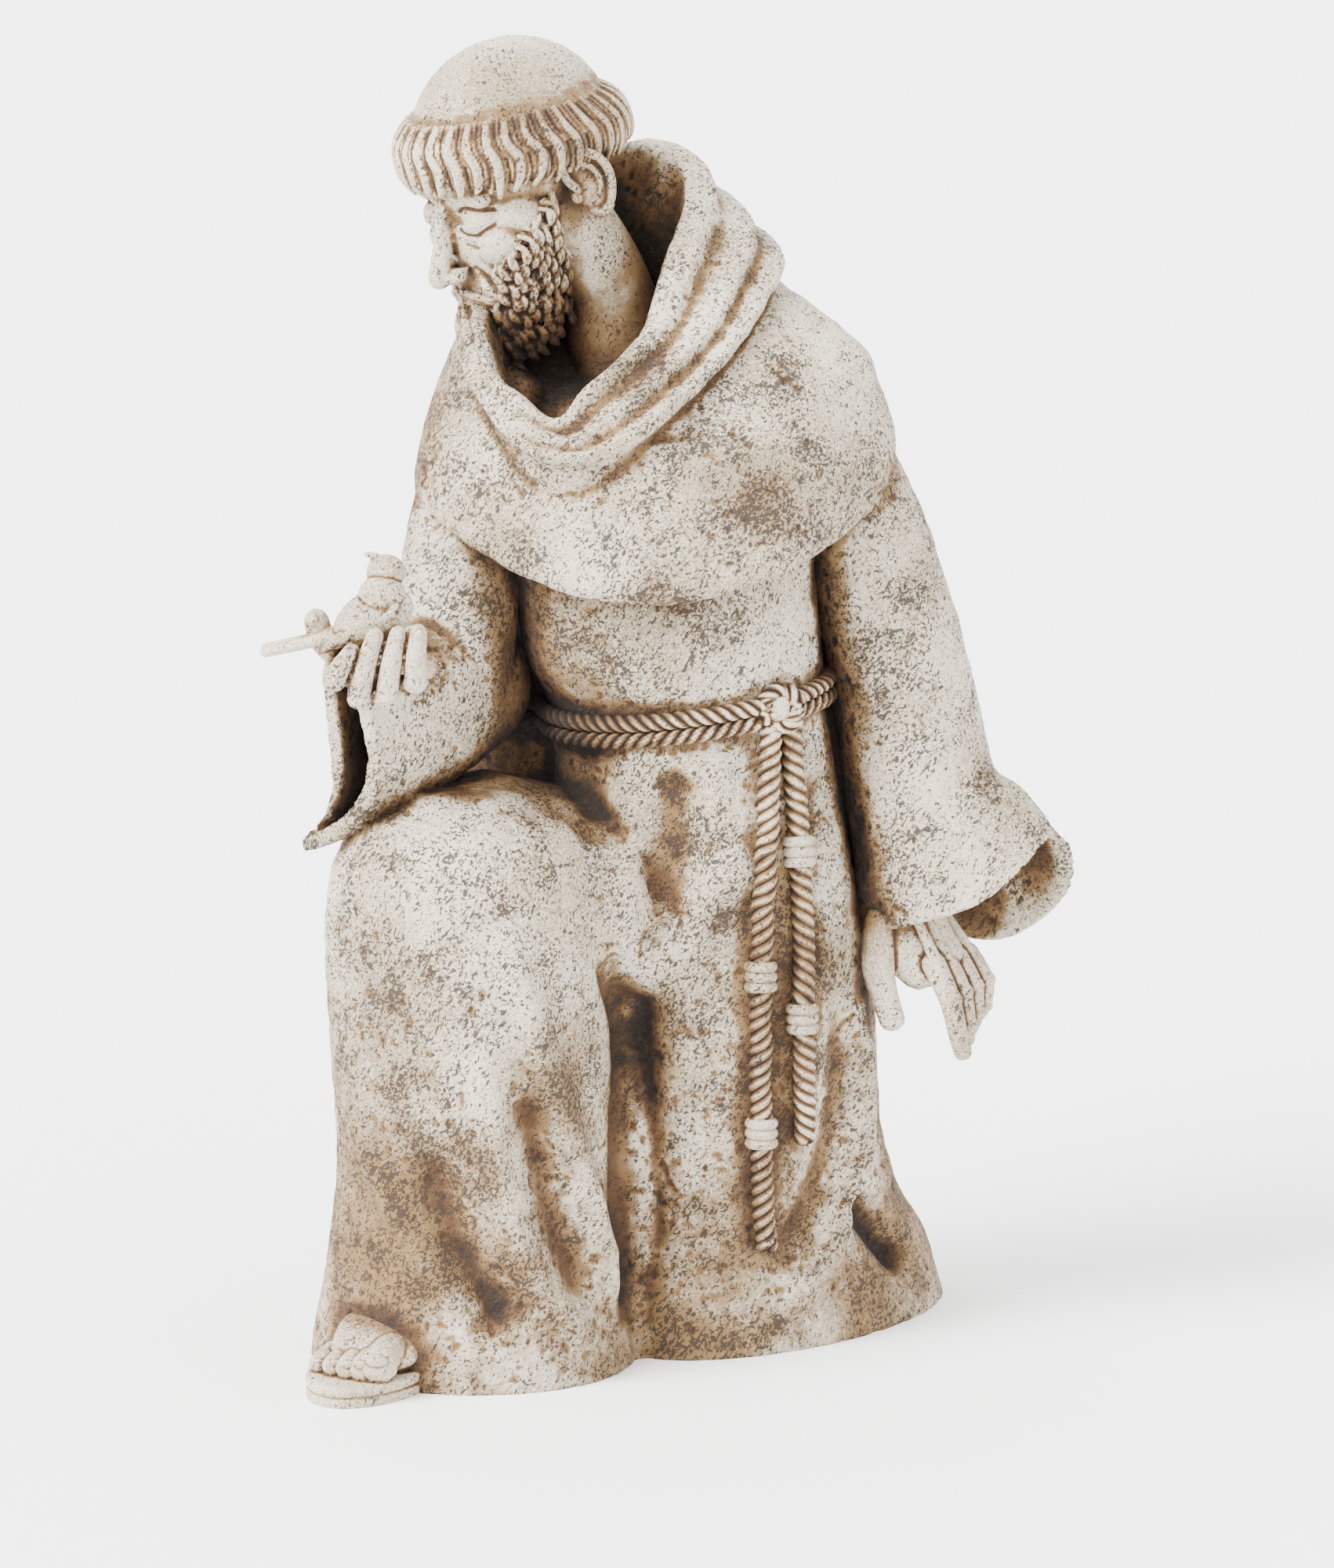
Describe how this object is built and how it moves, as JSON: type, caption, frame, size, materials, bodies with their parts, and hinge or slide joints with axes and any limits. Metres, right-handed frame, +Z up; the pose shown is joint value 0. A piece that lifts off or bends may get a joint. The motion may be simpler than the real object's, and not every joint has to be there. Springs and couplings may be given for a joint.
{
  "type": "kneeling saint statue",
  "caption": "Kneeling friar in a hooded habit with a rope belt, head bowed over a small bird on the raised hand, cast in one piece.",
  "frame": {"origin": "on the ground, under the middle of the statue's box", "axes": "+Z up; the chest faces -Y, the raised right knee is at -X, the hanging left arm at +X"},
  "size_m": [0.1942, 0.205, 0.3798],
  "materials": {
    "cast_stone": "matte pitted cast stone with brown wash in the hollows"
  },
  "bodies": {
    "root": {"kneeling_friar": "cast_stone"}
  },
  "joints": []
}
